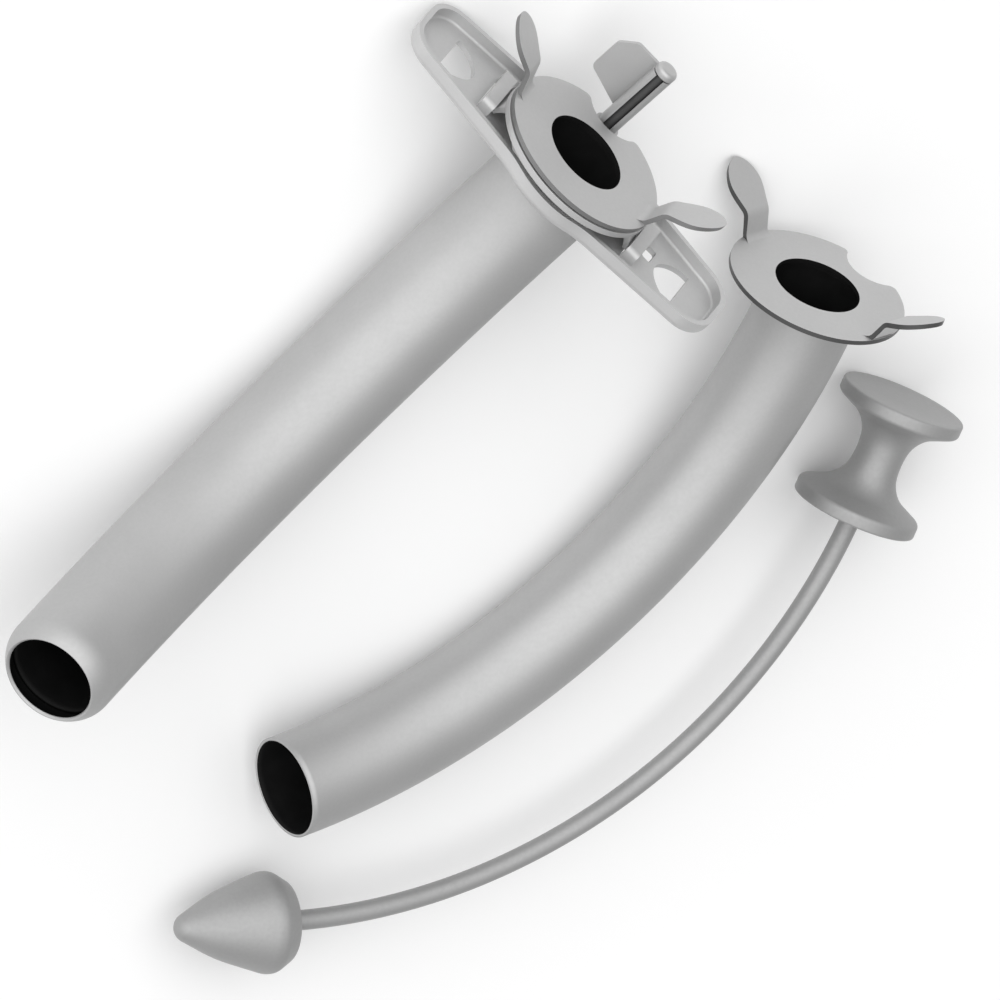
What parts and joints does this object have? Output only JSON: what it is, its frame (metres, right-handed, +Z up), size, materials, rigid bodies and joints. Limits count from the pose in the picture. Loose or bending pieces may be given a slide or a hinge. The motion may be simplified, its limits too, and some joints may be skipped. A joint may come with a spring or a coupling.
{
  "type": "tracheostomy tube",
  "caption": "Curved metal airway tube with a rocking neck plate, a turning lock and a sliding inner tube, lying beside its spare inner tube and its obturator.",
  "frame": {"origin": "middle of the bounding box's base, on the table", "axes": "+Z up from the table; the outer tube's tip points towards -X and its mouth towards +Y"},
  "size_m": [0.111, 0.1064, 0.0268],
  "materials": {
    "tube_steel": "satin",
    "plate_steel": "satin",
    "lock_steel": "satin",
    "obturator_steel": "satin"
  },
  "bodies": {
    "outer": {"outer_tube": "tube_steel", "outer_collar": "plate_steel", "lock_post": "lock_steel", "spare_inner_tube": "tube_steel", "spare_inner_flange": "plate_steel", "obturator_rod": "obturator_steel", "obturator_tip": "obturator_steel", "obturator_handle": "obturator_steel"},
    "plate": {"neck_plate": "plate_steel"},
    "lock": {"lock_key": "lock_steel"},
    "inner": {"inner_tube": "tube_steel", "inner_flange": "plate_steel"}
  },
  "joints": [
    {"name": "neck_plate_rock", "type": "hinge", "parent": "outer", "child": "plate", "pos_m": [0.00412, 0.03704, 0.01329], "axis": [-0.5925, 0.6274, -0.5053], "range_deg": [0, 6]},
    {"name": "lock_turn", "type": "hinge", "parent": "outer", "child": "lock", "pos_m": [0.01086, 0.03923, 0.00811], "axis": [-0.4285, -0.7766, -0.4617], "range_deg": [0, 180]},
    {"name": "inner_tube_withdrawal", "type": "hinge", "parent": "outer", "child": "inner", "pos_m": [-0.03723, 0.03521, 0.0595], "axis": [0.5925, -0.6274, 0.5053], "range_deg": [0, 75]}
  ]
}
